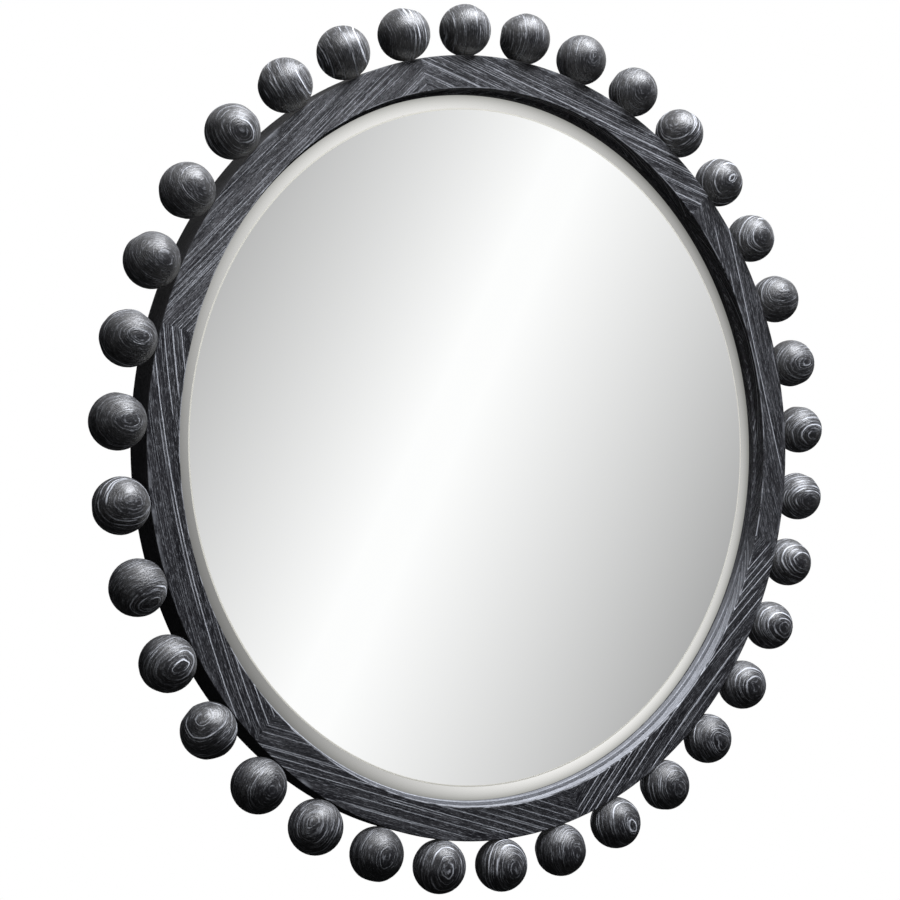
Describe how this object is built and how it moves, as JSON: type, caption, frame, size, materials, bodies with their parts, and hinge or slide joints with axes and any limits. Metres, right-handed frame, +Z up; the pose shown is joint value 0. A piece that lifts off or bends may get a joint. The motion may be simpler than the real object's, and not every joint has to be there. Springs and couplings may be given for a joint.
{
  "type": "round wall mirror",
  "caption": "Round bevelled wall mirror in a dark limed wooden ring frame, with turned wooden balls dowelled round its edge.",
  "frame": {"origin": "middle of the mirror on the wall's surface, which is the plane of the wall bumpers' backs", "axes": "+Y points into the wall, along the mirror's axis; the glass faces -Y; +Z is up; +X is to the right as seen from the front"},
  "size_m": [1.077, 0.0712, 1.076],
  "materials": {
    "ball_wood": "charcoal stain with white limed grain, satin",
    "front_wood": "charcoal stain with white limed grain, satin",
    "rear_wood": "black stain, satin",
    "dowel_wood": "raw beech",
    "silvered_glass": "polished, bevelled",
    "foam_tape": "closed-cell foam",
    "fibreboard": "raw fibreboard",
    "zinc_steel": "bright zinc plate",
    "bumper_rubber": "matt"
  },
  "bodies": {
    "frame": {"ball_01": "ball_wood", "ball_02": "ball_wood", "ball_03": "ball_wood", "ball_04": "ball_wood", "ball_05": "ball_wood", "ball_06": "ball_wood", "ball_07": "ball_wood", "ball_08": "ball_wood", "ball_09": "ball_wood", "ball_10": "ball_wood", "ball_11": "ball_wood", "ball_12": "ball_wood", "ball_13": "ball_wood", "ball_14": "ball_wood", "ball_15": "ball_wood", "ball_16": "ball_wood", "ball_17": "ball_wood", "ball_18": "ball_wood", "ball_19": "ball_wood", "ball_20": "ball_wood", "ball_21": "ball_wood", "ball_22": "ball_wood", "ball_23": "ball_wood", "ball_24": "ball_wood", "ball_25": "ball_wood", "ball_26": "ball_wood", "ball_27": "ball_wood", "ball_28": "ball_wood", "ball_29": "ball_wood", "ball_30": "ball_wood", "ball_31": "ball_wood", "ball_32": "ball_wood", "ball_33": "ball_wood", "ball_34": "ball_wood", "ball_35": "ball_wood", "front_plank_1": "front_wood", "front_plank_2": "front_wood", "front_plank_3": "front_wood", "front_plank_4": "front_wood", "front_plank_5": "front_wood", "front_plank_6": "front_wood", "rear_plank_1": "rear_wood", "rear_plank_2": "rear_wood", "rear_plank_3": "rear_wood", "rear_plank_4": "rear_wood", "rear_plank_5": "rear_wood", "rear_plank_6": "rear_wood", "ball_dowels": "dowel_wood", "front_joint_pins": "dowel_wood", "rear_joint_pins": "dowel_wood", "mirror_glass": "silvered_glass", "glass_tape": "foam_tape", "backing_board": "fibreboard", "backing_screws": "zinc_steel", "hanger_strap_left": "zinc_steel", "hanger_strap_right": "zinc_steel", "hanger_screws": "zinc_steel", "wall_bumpers": "bumper_rubber"},
    "ring_left": {"hanger_ring_left": "zinc_steel"},
    "ring_right": {"hanger_ring_right": "zinc_steel"}
  },
  "joints": [
    {"name": "ring_left_swing", "type": "hinge", "parent": "frame", "child": "ring_left", "pos_m": [-0.43021, -0.00297, 0.18843], "axis": [1, 0, 0], "range_deg": [0, 180]},
    {"name": "ring_right_swing", "type": "hinge", "parent": "frame", "child": "ring_right", "pos_m": [0.43021, -0.00297, 0.18843], "axis": [1, 0, 0], "range_deg": [0, 180]}
  ]
}
